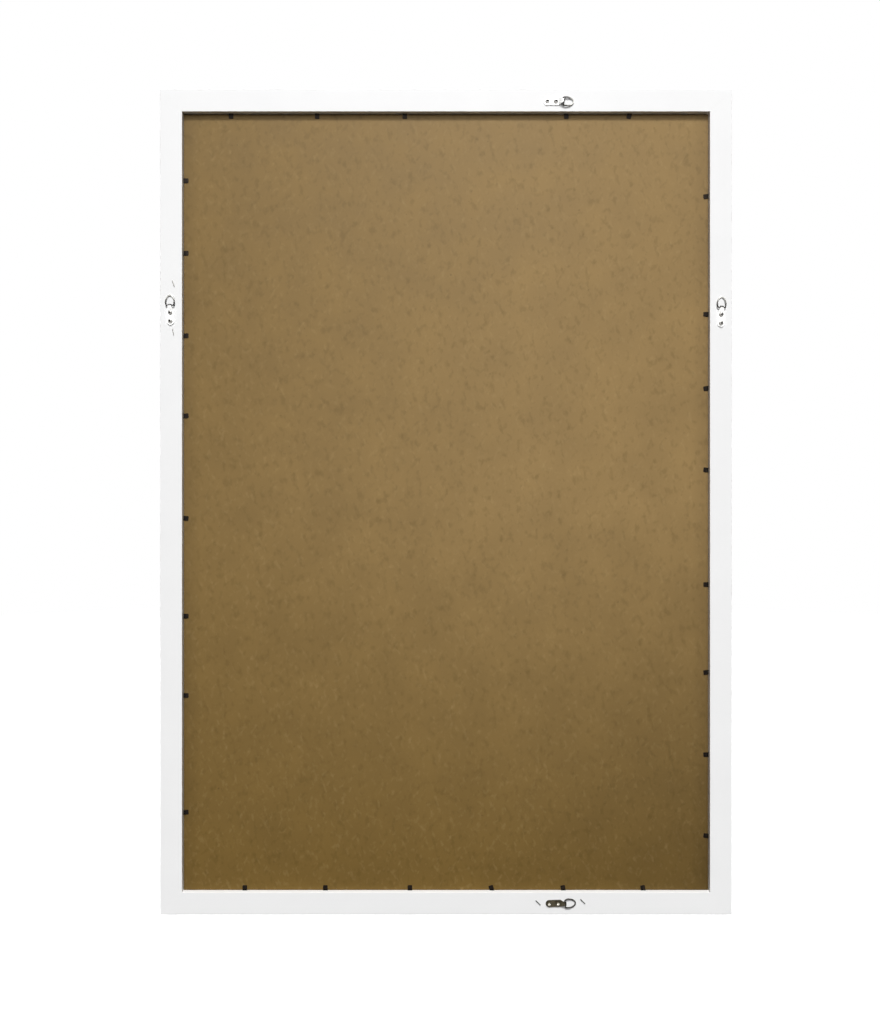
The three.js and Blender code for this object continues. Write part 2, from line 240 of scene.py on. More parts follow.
def white_paint(name, along):
    """The paint on rails whose grain runs along X or Z."""
    material, tree, shader, place = new_material(name)
    shader.inputs["Specular IOR Level"].default_value = 0.2
    scale = [1 / GRAIN_WIDTH, 1 / GRAIN_WIDTH, 1 / GRAIN_WIDTH]
    scale["XYZ".index(along)] = 1 / GRAIN_LENGTH
    stretched = add_node(tree, "Mapping", {"Scale": scale}, {"Vector": place})
    grain = add_node(tree, "TexNoise", {"Scale": 1, "Detail": 3}, {"Vector": stretched.outputs["Vector"]})
    cloud = add_node(tree, "TexNoise", {"Scale": 1 / PAINT_CLOUD, "Detail": 3}, {"Vector": place})
    tone = add_node(
        tree, "MixRGB", {"Color1": srgb(PAINT), "Color2": srgb(PAINT_THIN)}, {"Fac": cloud.outputs["Fac"]}
    )
    middle = add_node(tree, "Mapping", {"Location": -FRAME_MIDDLE}, {"Vector": place})
    axes = add_node(tree, "SeparateXYZ", {}, {"Vector": middle.outputs["Vector"]})
    across = add_node(tree, "Math", {"operation": "ABSOLUTE"}, {0: axes.outputs["X"]})
    upright = add_node(tree, "Math", {"operation": "ABSOLUTE"}, {0: axes.outputs["Z"]})
    from_side = add_node(
        tree, "Math", {"operation": "SUBTRACT", 0: FRAME_WIDTH / 2}, {1: across.outputs["Value"]}
    )
    from_end = add_node(
        tree, "Math", {"operation": "SUBTRACT", 0: FRAME_HEIGHT / 2}, {1: upright.outputs["Value"]}
    )
    from_edge = add_node(
        tree,
        "Math",
        {"operation": "MINIMUM"},
        {0: from_side.outputs["Value"], 1: from_end.outputs["Value"]},
    )
    from_arris = add_node(
        tree, "Math", {"operation": "MAXIMUM"}, {0: from_edge.outputs["Value"], 1: axes.outputs["Y"]}
    )
    near_arris = add_node(
        tree,
        "MapRange",
        {"From Min": 0, "From Max": RUB_REACH, "To Min": RUB_STRENGTH, "To Max": 0},
        {"Value": from_arris.outputs["Value"]},
    )
    rubs = add_node(tree, "TexNoise", {"Scale": 1 / RUB, "Detail": 3}, {"Vector": place})
    rubs_and_shade = add_node(
        tree,
        "MapRange",
        {"From Min": RUB_EDGES[0], "From Max": RUB_EDGES[1]},
        {"Value": rubs.outputs["Fac"], "To Max": near_arris.outputs["Result"]},
    )
    colour = add_node(
        tree,
        "MixRGB",
        {"Color2": srgb(PAINT_RUBBED)},
        {"Fac": rubs_and_shade.outputs["Result"], "Color1": tone.outputs["Color"]},
    )
    gloss = add_node(tree, "MapRange", {"To Min": 0.34, "To Max": 0.54}, {"Value": cloud.outputs["Fac"]})
    relief = add_node(
        tree, "Bump", {"Strength": 0.25, "Distance": 0.05 * MM}, {"Height": grain.outputs["Fac"]}
    )
    tree.links.new(colour.outputs["Color"], shader.inputs["Base Color"])
    tree.links.new(gloss.outputs["Result"], shader.inputs["Roughness"])
    tree.links.new(relief.outputs["Normal"], shader.inputs["Normal"])
    return material


# The lip's back, deep in the rebate behind the stack, is bare wood with the same grain, brown, and is
# painted a deeper brown than bare wood as painted shade in the gaps round the board.
WOOD_SHADED_PALE = "#5a4226"
WOOD_SHADED_DARK = "#382815"
WOOD_FIGURE = 3 * MM

shaded_bare_wood, tree, shader, place = new_material("bare_softwood_painted_shade")
shader.inputs["Roughness"].default_value = 0.85
figure = add_node(tree, "TexNoise", {"Scale": 1 / WOOD_FIGURE, "Detail": 5}, {"Vector": place})
tone = add_node(
    tree,
    "MixRGB",
    {"Color1": srgb(WOOD_SHADED_PALE), "Color2": srgb(WOOD_SHADED_DARK)},
    {"Fac": figure.outputs["Fac"]},
)
tree.links.new(tone.outputs["Color"], shader.inputs["Base Color"])

paint_across = white_paint("satin_white_paint_level", "X")
paint_upright = white_paint("satin_white_paint_upright", "Z")
for turns, side in enumerate(("bottom", "right", "top", "left")):
    level = side in ("bottom", "top")
    if level:
        rail = model_rail("painted_rail_" + side, FRAME_WIDTH, FRAME_HEIGHT / 2)
    else:
        rail = model_rail("painted_rail_" + side, FRAME_HEIGHT, FRAME_WIDTH / 2)
    rail.data.materials.append(paint_across if level else paint_upright)
    # The lip's back takes the bare wood with its painted shade.
    paint_faces(
        rail,
        shaded_bare_wood,
        lambda middle, face: face.normal.y < -FACING and middle.y > REBATE_DEPTH - TOUCH,
    )
    turn = Matrix.Rotation(turns * math.pi / 2, 4, BACKWARDS)
    settle(rail, Matrix.Translation(FRAME_MIDDLE) @ turn)
    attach(rail, "frame")
    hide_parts("rail_" + side)


# Corner nails.
# A V of thin steel strip across each mitre, driven in from the back and filled over, so none shows.
# Bare cold-rolled strip: grey, with a fine rolled tooth and a little rust.
STRIP_STEEL = "#8c8a86"
STRIP_RUST = "#7d5b41"
STRIP_TOOTH = 0.4 * MM
RUST_PATCH = 4 * MM

strip_steel, tree, shader, place = new_material("bare_strip_steel")
shader.inputs["Metallic"].default_value = 1
shader.inputs["Roughness"].default_value = 0.45
patches = add_node(tree, "TexNoise", {"Scale": 1 / RUST_PATCH, "Detail": 4}, {"Vector": place})
rusty = add_node(
    tree, "MapRange", {"From Min": 0.55, "From Max": 0.75}, {"Value": patches.outputs["Fac"]}
)
tone = add_node(
    tree,
    "MixRGB",
    {"Color1": srgb(STRIP_STEEL), "Color2": srgb(STRIP_RUST)},
    {"Fac": rusty.outputs["Result"]},
)
tooth = add_node(tree, "TexNoise", {"Scale": 1 / STRIP_TOOTH, "Detail": 2}, {"Vector": place})
relief = add_node(
    tree, "Bump", {"Strength": 0.2, "Distance": 0.02 * MM}, {"Height": tooth.outputs["Fac"]}
)
tree.links.new(tone.outputs["Color"], shader.inputs["Base Color"])
tree.links.new(relief.outputs["Normal"], shader.inputs["Normal"])


def dress(node, material):
    """Gives a CAD piece, which keeps its shape, its own material."""
    node.data.materials.clear()
    node.data.materials.append(material)


for name, node in frame["nodes"].items():
    if name.startswith("corner_nail"):
        dress(node, strip_steel)


# Glazing.
# A sheet of cast acrylic, laid in the rebate against the lip. It is clear and glossy, with a trace of
# haze from wiping.
ACRYLIC = "#fdfdfd"
ACRYLIC_HAZE = 90 * MM

acrylic, tree, shader, place = new_material("clear_cast_acrylic")
shader.inputs["Base Color"].default_value = srgb(ACRYLIC)
shader.inputs["Transmission Weight"].default_value = 1
shader.inputs["IOR"].default_value = 1.49
haze = add_node(tree, "TexNoise", {"Scale": 1 / ACRYLIC_HAZE, "Detail": 5}, {"Vector": place})
gloss = add_node(tree, "MapRange", {"To Min": 0, "To Max": 0.06}, {"Value": haze.outputs["Fac"]})
tree.links.new(gloss.outputs["Result"], shader.inputs["Roughness"])
dress(frame["nodes"]["glazing"], acrylic)


# Sheet.
# Plain uncoated poster paper, unprinted, behind the glazing: matt, with a faint fibre and cloudiness.
PAPER = "#f3f0e8"
PAPER_SHADE = "#ebe7dc"
PAPER_FIBRE = 1.5 * MM
PAPER_CLOUD = 25 * MM

paper, tree, shader, place = new_material("uncoated_paper")
shader.inputs["Roughness"].default_value = 0.9
cloud = add_node(tree, "TexNoise", {"Scale": 1 / PAPER_CLOUD, "Detail": 6}, {"Vector": place})
tone = add_node(
    tree, "MixRGB", {"Color1": srgb(PAPER), "Color2": srgb(PAPER_SHADE)}, {"Fac": cloud.outputs["Fac"]}
)
fibre = add_node(tree, "TexNoise", {"Scale": 1 / PAPER_FIBRE, "Detail": 4}, {"Vector": place})
relief = add_node(
    tree, "Bump", {"Strength": 0.2, "Distance": 0.03 * MM}, {"Height": fibre.outputs["Fac"]}
)
tree.links.new(tone.outputs["Color"], shader.inputs["Base Color"])
tree.links.new(relief.outputs["Normal"], shader.inputs["Normal"])
dress(frame["nodes"]["poster_sheet"], paper)


# Backing board.
# Hardboard, a 3 mm sheet of wood fibre pressed hot against a smooth plate, sawn to size. It lies in the
# rebate behind the sheet, with its smooth side out.
BOARD_EASE = 0.35 * MM

board_low, board_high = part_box("backing_board")
bpy.ops.mesh.primitive_cube_add(
    size=1, location=(board_low + board_high) / 2, scale=board_high - board_low
)
board = start_piece("hardboard_back")
bpy.ops.mesh.select_all(action="SELECT")
bpy.ops.mesh.bevel(offset=BOARD_EASE, segments=2, profile=0.5, affect="EDGES")
bpy.ops.object.mode_set(mode="OBJECT")
settle(board, Matrix.Identity(4))

# Pressed fibre: brown and mottled, with short flecks of darker bark and paler fibre that lie mostly up
# the sheet, a few black specks, and a low sheen from the press. Painted shade darkens it towards the
# lower edge and its left side, most in the lower right corner, and along its side edges.
BOARD_PALE = "#90764b"
BOARD_SHADED = "#6b5428"
BOARD_FLECK = "#40310b"
BOARD_FIBRE = "#b39a6c"
BOARD_SPECK = "#2a1f12"
BOARD_MOTTLE = 60 * MM
LEFT_SHADE = 0.5
LEFT_END = 100 * MM
RIGHT_START = 50 * MM
RIGHT_SHADE = 0.7
SIDE_SHADE_WIDTH = 22 * MM
SIDE_SHADE = 0.8
FLECK_BLEND = 0.16
FLECK = (8 * MM, 13 * MM)
FIBRE = (6 * MM, 10 * MM)
SPECK = (4 * MM, 5 * MM)

hardboard, tree, shader, place = new_material("hardboard_smooth_side")
shader.inputs["Specular IOR Level"].default_value = 0.15
axes = add_node(tree, "SeparateXYZ", {}, {"Vector": place})
# Painted shade: the board darkens below its middle height and towards its left side.
rise = add_node(
    tree,
    "MapRange",
    {"From Min": board_low.z, "From Max": FRAME_MIDDLE.z},
    {"Value": axes.outputs["Z"]},
)
inward = add_node(
    tree,
    "MapRange",
    {"From Min": board_low.x, "From Max": LEFT_END, "To Min": LEFT_SHADE},
    {"Value": axes.outputs["X"]},
)
lit_share = add_node(
    tree,
    "Math",
    {"operation": "MULTIPLY"},
    {0: rise.outputs["Result"], 1: inward.outputs["Result"]},
)
tone = add_node(
    tree,
    "MixRGB",
    {"Color1": srgb(BOARD_SHADED), "Color2": srgb(BOARD_PALE)},
    {"Fac": lit_share.outputs["Value"]},
)
for (width, length), lean, colour, start, strength in (
    (FLECK, 12, BOARD_FLECK, 0.54, 0.18),
    (FLECK, -38, BOARD_FLECK, 0.58, 0.16),
    (FIBRE, 20, BOARD_FIBRE, 0.58, 0.11),
    (FIBRE, -30, BOARD_FIBRE, 0.6, 0.11),
    (SPECK, 0, BOARD_SPECK, 0.7, 0.4),
):
    leaning = add_node(tree, "Mapping", {"Rotation": (0, math.radians(lean), 0)}, {"Vector": place})
    stretched = add_node(
        tree,
        "Mapping",
        {"Location": (lean, 0, 0), "Scale": (1 / width, 1 / width, 1 / length)},
        {"Vector": leaning.outputs["Vector"]},
    )
    flecks = add_node(
        tree, "TexNoise", {"Scale": 1, "Detail": 2}, {"Vector": stretched.outputs["Vector"]}
    )
    amount = add_node(
        tree,
        "MapRange",
        {"From Min": start, "From Max": start + FLECK_BLEND, "To Max": strength},
        {"Value": flecks.outputs["Fac"]},
    )
    tone = add_node(
        tree,
        "MixRGB",
        {"Color2": srgb(colour)},
        {"Fac": amount.outputs["Result"], "Color1": tone.outputs["Color"]},
    )
mottle = add_node(tree, "TexNoise", {"Scale": 1 / BOARD_MOTTLE, "Detail": 5}, {"Vector": place})
shade = add_node(
    tree,
    "MapRange",
    {"From Min": 0.3, "From Max": 0.7, "To Min": 0.93, "To Max": 1.07},
    {"Value": mottle.outputs["Fac"]},
).outputs["Result"]
# Painted shade in the lower right corner and along both side edges.
lower_right = add_node(
    tree,
    "MapRange",
    {"From Min": board_low.z, "From Max": FRAME_MIDDLE.z, "To Min": RIGHT_SHADE},
    {"Value": axes.outputs["Z"]},
)
for start, end, first, last, links in (
    (RIGHT_START, board_high.x, 1, 1, {"To Max": lower_right.outputs["Result"]}),
    (board_low.x, board_low.x + SIDE_SHADE_WIDTH, SIDE_SHADE, 1, {}),
    (board_high.x - SIDE_SHADE_WIDTH, board_high.x, 1, SIDE_SHADE, {}),
):
    drift = add_node(
        tree,
        "MapRange",
        {"From Min": start, "From Max": end, "To Min": first, "To Max": last},
        {"Value": axes.outputs["X"], **links},
    )
    shade = add_node(
        tree, "Math", {"operation": "MULTIPLY"}, {0: shade, 1: drift.outputs["Result"]}
    ).outputs["Value"]
mottled = add_node(
    tree,
    "MixRGB",
    {"blend_type": "MULTIPLY", "Fac": 1},
    {"Color1": tone.outputs["Color"], "Color2": shade},
)
gloss = add_node(tree, "MapRange", {"To Min": 0.42, "To Max": 0.62}, {"Value": mottle.outputs["Fac"]})
relief = add_node(
    tree, "Bump", {"Strength": 0.2, "Distance": 0.03 * MM}, {"Height": flecks.outputs["Fac"]}
)
tree.links.new(mottled.outputs["Color"], shader.inputs["Base Color"])
tree.links.new(gloss.outputs["Result"], shader.inputs["Roughness"])
tree.links.new(relief.outputs["Normal"], shader.inputs["Normal"])
board.data.materials.append(hardboard)
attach(board, "frame")
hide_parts("backing_board")


# Points.
# Flexible framer's points: strips of thin blackened steel, driven more than half their length into the
# rebate's wall. The end that shows is bent up to free the stack, and back down on the board to hold it.
POINT_WIDTH = 6 * MM
POINT_OUT = 6 * MM
POINT_DRIVEN = 9.6 * MM
POINT_THICKNESS = 0.4 * MM
POINT_CORNER = 0.9 * MM
POINT_TAPER = 2.2 * MM
BEND_SPREAD = 0.75 * MM
BEND_ROWS = 8
LEAF_ROWS = (0.3, 0.45, 0.6, 0.75, 0.9)
LEAF_DROP = 0.28 * MM

# The points that were driven in askew, with their turn in degrees, anticlockwise from behind.
POINT_LEANS = {
    "point_bottom_4": 16,
    "point_bottom_5": 9,
    "point_bottom_6": 12,
    "point_right_1": 8,
    "point_right_3": 10,
    "point_right_4": -6,
    "point_right_6": 7,
    "point_right_7": 4,
    "point_right_8": -8,
    "point_top_5": -14,
    "point_left_4": 5,
    "point_left_5": -6,
    "point_left_8": 4,
}


def model_point(name, lean):
    """A point that lies on XY with its bend on the Y axis and its tip along +X, turned by its lean."""
    bpy.ops.mesh.primitive_plane_add(size=1, location=((POINT_OUT - POINT_DRIVEN) / 2, 0, 0))
    bpy.context.object.scale = (POINT_OUT + POINT_DRIVEN, POINT_WIDTH, 1)
    point = start_piece(name)
    pick("VERT", lambda middle, vertex: middle.x > 0)
    bpy.ops.mesh.bevel(offset=POINT_CORNER, segments=4, profile=0.5, affect="VERTICES")
    pick("VERT", lambda middle, vertex: middle.x < -POINT_DRIVEN + TOUCH)
    bpy.ops.mesh.bevel(offset=POINT_TAPER, segments=1, affect="VERTICES")
    bpy.ops.object.mode_set(mode="OBJECT")
    point.rotation_euler.z = lean
    bpy.ops.object.transform_apply(location=True, rotation=True, scale=True)
    bpy.ops.object.mode_set(mode="EDIT")
    for row in range(-BEND_ROWS, BEND_ROWS + 1):
        cut((BEND_SPREAD * row / BEND_ROWS, 0, 0), (1, 0, 0))
    for share in LEAF_ROWS:
        cut((POINT_OUT * share, 0, 0), (1, 0, 0))
        pick("VERT", lambda middle, vertex: middle.x > POINT_OUT * share + TOUCH)
        bpy.ops.transform.translate(value=(0, 0, -LEAF_DROP / len(LEAF_ROWS)))
    bpy.ops.object.mode_set(mode="OBJECT")
    finish_piece(point, "SOLIDIFY", thickness=POINT_THICKNESS, offset=0)
    return point


# Blackened steel: an oxide so dark that only its scuffs and worn spots read as metal.
POINT_OXIDE = "#120c07"
POINT_SCUFF = "#2c2218"
SCUFF = 2.5 * MM

oxide, tree, shader, place = new_material("black_oxide_steel")
shader.inputs["Metallic"].default_value = 0.85
scuffs = add_node(tree, "TexNoise", {"Scale": 1 / SCUFF, "Detail": 6}, {"Vector": place})
worn = add_node(tree, "MapRange", {"From Min": 0.5, "From Max": 0.8}, {"Value": scuffs.outputs["Fac"]})
tone = add_node(
    tree,
    "MixRGB",
    {"Color1": srgb(POINT_OXIDE), "Color2": srgb(POINT_SCUFF)},
    {"Fac": worn.outputs["Result"]},
)
gloss = add_node(tree, "MapRange", {"To Min": 0.35, "To Max": 0.6}, {"Value": scuffs.outputs["Fac"]})
tree.links.new(tone.outputs["Color"], shader.inputs["Base Color"])
tree.links.new(gloss.outputs["Result"], shader.inputs["Roughness"])


def facing_back(axis, origin):
    """A place whose Y axis runs against a hinge's axis, and whose Z axis is the way the back faces."""
    turn = Matrix((BACKWARDS.cross(axis), -axis, BACKWARDS)).transposed()
    return Matrix.Translation(origin) @ turn.to_4x4()


for joint in frame["joints"]:
    body = joint["child"]
    if body.startswith("point"):
        bend = Vector(joint["pos_m"])
        place = facing_back(Vector(joint["axis"]), bend)
        point = model_point("steel_" + body, math.radians(POINT_LEANS.get(body, 0)))
        settle(point, place)
        point.data.materials.append(oxide)
        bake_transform(point)
        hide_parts(body)


# Hanger straps.
# A short strap of steel sheet, one end cut round, the other narrowed, raised and rolled back under
# itself into a loop for the ring. It is plated, and screwed flat on the rail through two holes.
STRAP_WIDTH = 9 * MM
STRAP_NECK = 4.6 * MM
STRAP_THICKNESS = 1.1 * MM
STRAP_TOP = 1.2 * MM
STRAP_END = -24.85 * MM
STRAP_RISE = -6.45 * MM
STRAP_TAIL = -3 * MM
STRAP_EASE = 0.2 * MM
STRAP_SHARP = math.radians(50)
RISE_ROWS = 10
LOOP_ROWS = 12
BAR_HEIGHT = 2.35 * MM
LOOP_MIDDLE = 1.5 * MM
SCREWS_AT = (-20.35 * MM, -9.05 * MM)
SCREW_HOLE = 2.2 * MM


def cut_out(piece, cutter):
    """Cuts a closed shape out of a piece, which takes the cutter's material there."""
    finish_piece(piece, "BOOLEAN", object=cutter, solver="EXACT", material_mode="TRANSFER")
    bpy.data.objects.remove(cutter)


def copy_piece(piece, name):
    """A copy of a piece with its own mesh."""
    copy = piece.copy()
    copy.data = piece.data.copy()
    copy.name = name
    bpy.context.scene.collection.objects.link(copy)
    return copy


strap_middle = STRAP_TOP - STRAP_THICKNESS / 2
bpy.ops.object.select_all(action="DESELECT")
bpy.ops.mesh.primitive_plane_add(size=1, location=((STRAP_END + STRAP_RISE) / 2, 0, strap_middle))
bpy.context.object.scale = (STRAP_RISE - STRAP_END, STRAP_WIDTH, 1)
strap = start_piece("strap_pattern")
pick("VERT", lambda middle, vertex: middle.x < STRAP_END + TOUCH)
bpy.ops.mesh.bevel(offset=STRAP_WIDTH / 2 - TOUCH, segments=12, profile=0.5, affect="VERTICES")
pick("EDGE", lambda middle, edge: middle.x > STRAP_RISE - TOUCH)
here = Vector((STRAP_RISE, 0, strap_middle))
width = STRAP_WIDTH
for row in range(1, RISE_ROWS + 1):
    share = row / RISE_ROWS
    ease = (1 - math.cos(math.pi * share)) / 2
    height = strap_middle * (1 - ease) + (BAR_HEIGHT + LOOP_MIDDLE) * ease
    top = Vector((STRAP_RISE * (1 - share), 0, height))
    narrowed = STRAP_WIDTH + (STRAP_NECK - STRAP_WIDTH) * ease
    bpy.ops.mesh.extrude_region_move(TRANSFORM_OT_translate={"value": top - here})
    bpy.ops.transform.resize(value=(1, narrowed / width, 1), center_override=top)
    here = top
    width = narrowed
bpy.ops.mesh.spin(steps=LOOP_ROWS, angle=-math.pi, center=(0, 0, BAR_HEIGHT), axis=(0, 1, 0))
bpy.ops.mesh.extrude_region_move(TRANSFORM_OT_translate={"value": (STRAP_TAIL, 0, 0)})
bpy.ops.mesh.select_all(action="SELECT")
bpy.ops.mesh.remove_doubles(threshold=TOUCH)
bpy.ops.mesh.normals_make_consistent(inside=False)
bpy.ops.object.mode_set(mode="OBJECT")
finish_piece(strap, "SOLIDIFY", thickness=STRAP_THICKNESS, offset=0, use_even_offset=True)
for at in SCREWS_AT:
    bpy.ops.mesh.primitive_cylinder_add(
        vertices=32, radius=SCREW_HOLE, depth=4 * STRAP_THICKNESS, location=(at, 0, strap_middle)
    )
    cut_out(strap, bpy.context.object)
finish_piece(
    strap, "BEVEL", width=STRAP_EASE, segments=2, limit_method="ANGLE", angle_limit=STRAP_SHARP
)


# Bright zinc plate on rolled steel: near white, a little hazy, with duller patches, and painted shade
# darkening it to dark steel at the loop, where the ring sits. On the lower rail the plate is a shaded
# copy, painted dark olive-brown as a painted reflection of dark surroundings.
PLATE_PATCH = 5 * MM
PLATE_GRIT = 0.5 * MM
WORN_AND_SHADED_STEEL = "#2e2c29"
WEAR_AND_SHADE_EDGES = (0.8, 1.45)
# Painted shade along the strap: none at the first place along X, full at the second, by the loop.
LOOP_UNSHADED = -1.3 * MM
LOOP_SHADED = 0.5 * MM


def mark_painted_shade(piece, unshaded, dark_steel):
    """Marks how far painted shade darkens the plate: not at all at one place along X, and fully at
    another.
    """
    painted_shade = piece.data.attributes.new("painted_shade", "FLOAT", "POINT")
    for spot, vertex in zip(painted_shade.data, piece.data.vertices):
        spot.value = (vertex.co.x - unshaded) / (dark_steel - unshaded)


def zinc_plate(name, bright, darker, low_gloss, high_gloss):
    """Zinc plate with its bright and dull tones and its range of roughness."""
    material, tree, shader, place = new_material(name)
    shader.inputs["Metallic"].default_value = 1
    patches = add_node(tree, "TexNoise", {"Scale": 1 / PLATE_PATCH, "Detail": 4}, {"Vector": place})
    dulled = add_node(
        tree, "MapRange", {"From Min": 0.4, "From Max": 0.7}, {"Value": patches.outputs["Fac"]}
    )
    tone = add_node(
        tree,
        "MixRGB",
        {"Color1": srgb(bright), "Color2": srgb(darker)},
        {"Fac": dulled.outputs["Result"]},
    )
    # Painted shade: the mark on the piece, with the patches, darkens the plate towards dark steel.
    rubs_and_shade = add_node(tree, "Attribute", {"attribute_name": "painted_shade"}, {})
    uneven = add_node(
        tree, "Math", {"operation": "ADD"}, {0: patches.outputs["Fac"], 1: rubs_and_shade.outputs["Fac"]}
    )
    dark_steel = add_node(
        tree,
        "MapRange",
        {"From Min": WEAR_AND_SHADE_EDGES[0], "From Max": WEAR_AND_SHADE_EDGES[1]},
        {"Value": uneven.outputs["Value"]},
    )
    colour = add_node(
        tree,
        "MixRGB",
        {"Color2": srgb(WORN_AND_SHADED_STEEL)},
        {"Fac": dark_steel.outputs["Result"], "Color1": tone.outputs["Color"]},
    )
    gloss = add_node(
        tree, "MapRange", {"To Min": low_gloss, "To Max": high_gloss}, {"Value": patches.outputs["Fac"]}
    )
    grit = add_node(tree, "TexNoise", {"Scale": 1 / PLATE_GRIT, "Detail": 3}, {"Vector": place})
    relief = add_node(
        tree, "Bump", {"Strength": 0.15, "Distance": 0.02 * MM}, {"Height": grit.outputs["Fac"]}
    )
    tree.links.new(colour.outputs["Color"], shader.inputs["Base Color"])
    tree.links.new(gloss.outputs["Result"], shader.inputs["Roughness"])
    tree.links.new(relief.outputs["Normal"], shader.inputs["Normal"])
    return material


bright_plate = zinc_plate("bright_zinc_plate", "#f1f1f0", "#dededc", 0.22, 0.4)
# The lower strap's plate is a shaded copy, painted dark olive-brown as a painted reflection.
plate_dark_reflection = zinc_plate("zinc_plate_painted_dark_reflection", "#504b3e", "#39352b", 0.3, 0.5)
# Dark grey wire plate for the lower ring and staples, the same painted dark reflection.
wire_dark_reflection = zinc_plate("zinc_wire_painted_dark_reflection", "#4a4844", "#2a2825", 0.35, 0.55)
strap.data.materials.clear()
strap.data.materials.append(bright_plate)
# Painted shade darkens the strap towards its loop.
mark_painted_shade(strap, LOOP_UNSHADED, LOOP_SHADED)


# Hanger rings.
# Steel wire bent into a D and butted inside the strap's loop, where its straight bar turns. At rest it
# lies back with its round end on the rail.
RING_WIRE = 0.8 * MM
RING_BUTT = 0.2 * MM
RING_BAR = 2.9 * MM
# Painted shade along the ring: none at the first place along X, full at the second, by the bar.
RING_UNSHADED = 17 * MM
RING_SHADED = 3.4 * MM
RING_REST = math.radians(6)

# The bends of the wire, each about a middle by X and Y, with its angle in degrees and its steps.
RING_ARCS = (
    (2.4 * MM, 2.9 * MM, 76.23, 8),
    (4.885 * MM, -7.24 * MM, 46.84, 8),
    (9.6 * MM, 0, 113.86, 16),
    (4.885 * MM, 7.24 * MM, 46.84, 8),
    (2.4 * MM, -2.9 * MM, 76.23, 8),
)

bpy.ops.object.select_all(action="DESELECT")
bpy.ops.mesh.primitive_circle_add(
    vertices=14, radius=RING_WIRE, location=(0, RING_BUTT, 0), rotation=(math.pi / 2, 0, 0)
)
ring = start_piece("ring_pattern")
bpy.ops.mesh.select_all(action="SELECT")
bpy.ops.mesh.extrude_region_move(TRANSFORM_OT_translate={"value": (0, RING_BAR - RING_BUTT, 0)})
for x, y, degrees, steps in RING_ARCS:
    bpy.ops.mesh.spin(steps=steps, angle=math.radians(degrees), center=(x, y, 0), axis=(0, 0, 1))
bpy.ops.mesh.extrude_region_move(TRANSFORM_OT_translate={"value": (0, RING_BAR - RING_BUTT, 0)})
bpy.ops.mesh.select_all(action="SELECT")
bpy.ops.mesh.remove_doubles(threshold=TOUCH)
bpy.ops.mesh.fill_holes(sides=0)
bpy.ops.mesh.normals_make_consistent(inside=False)
bpy.ops.object.mode_set(mode="OBJECT")
# Painted shade darkens the ring towards its bar.
mark_painted_shade(ring, RING_UNSHADED, RING_SHADED)
ring.matrix_world = Matrix.Translation((0, 0, BAR_HEIGHT)) @ Matrix.Rotation(RING_REST, 4, "Y")
bpy.ops.object.transform_apply(location=True, rotation=True, scale=True)

# Drawn wire under thin plate: pale grey at the round end, and darkened with painted shade at the corners
# and in the loop.
wire_plate = zinc_plate("plated_drawn_wire", "#b4b3ae", "#a5a49f", 0.25, 0.45)


# Hanger screws.
# Pan-head wood screws with a cross recess, two through each strap into the rail.
HEAD_RADIUS = 3 * MM
HEAD_TOP = 3.66 * MM
HEAD_ROUND = 1.7 * MM
SHANK_RADIUS = 1.5 * MM
SHANK_END = -8 * MM
SCREW_TIP = 3 * MM
RECESS_LENGTH = 4.4 * MM
RECESS_WIDTH = 1.3 * MM
RECESS_DEPTH = 1.5 * MM
RECESS_TAPER = 0.3
PIT_MOUTH = 1.5 * MM
PIT_FLOOR = 0.5 * MM
TIP_SHARPNESS = 0.05

bpy.ops.object.select_all(action="DESELECT")
bpy.ops.mesh.primitive_cylinder_add(
    vertices=40,
    radius=HEAD_RADIUS,
    depth=HEAD_TOP - STRAP_TOP,
    location=(0, 0, (HEAD_TOP + STRAP_TOP) / 2),
)
screw = start_piece("screw_pattern")
pick("EDGE", lambda middle, edge: all(abs(vertex.co.z - HEAD_TOP) < TOUCH for vertex in edge.verts))
bpy.ops.mesh.bevel(offset=HEAD_ROUND, segments=6, profile=0.5, affect="EDGES")
pick("FACE", lambda middle, face: face.normal.z < -FACING)
bpy.ops.mesh.inset(thickness=HEAD_RADIUS - SHANK_RADIUS)
bpy.ops.mesh.extrude_region_move(TRANSFORM_OT_translate={"value": (0, 0, SHANK_END - STRAP_TOP)})
bpy.ops.mesh.extrude_region_move(TRANSFORM_OT_translate={"value": (0, 0, -SCREW_TIP)})
bpy.ops.transform.resize(
    value=(TIP_SHARPNESS, TIP_SHARPNESS, 1), center_override=(0, 0, SHANK_END - SCREW_TIP)
)
bpy.ops.object.mode_set(mode="OBJECT")

# Zinc-plated screw steel: grey, as a painted reflection of dim surroundings, with painted shade in the
# recess. On the lower rail the heads take the strap's painted dark reflection, and the recess is painted
# bright as a painted highlight.
RECESS_SHADE_PATCH = 2.2 * MM
RECESS_SHADE = "#242220"
RECESS_RIM = "#3a3835"

screw_painted_highlight = zinc_plate("screw_plate_painted_highlight", "#f0efeb", "#d2d0ca", 0.15, 0.35)
screw_dim_reflection = zinc_plate("screw_plate_painted_dim_reflection", "#a9a8a5", "#858380", 0.3, 0.5)
screw.data.materials.append(screw_dim_reflection)

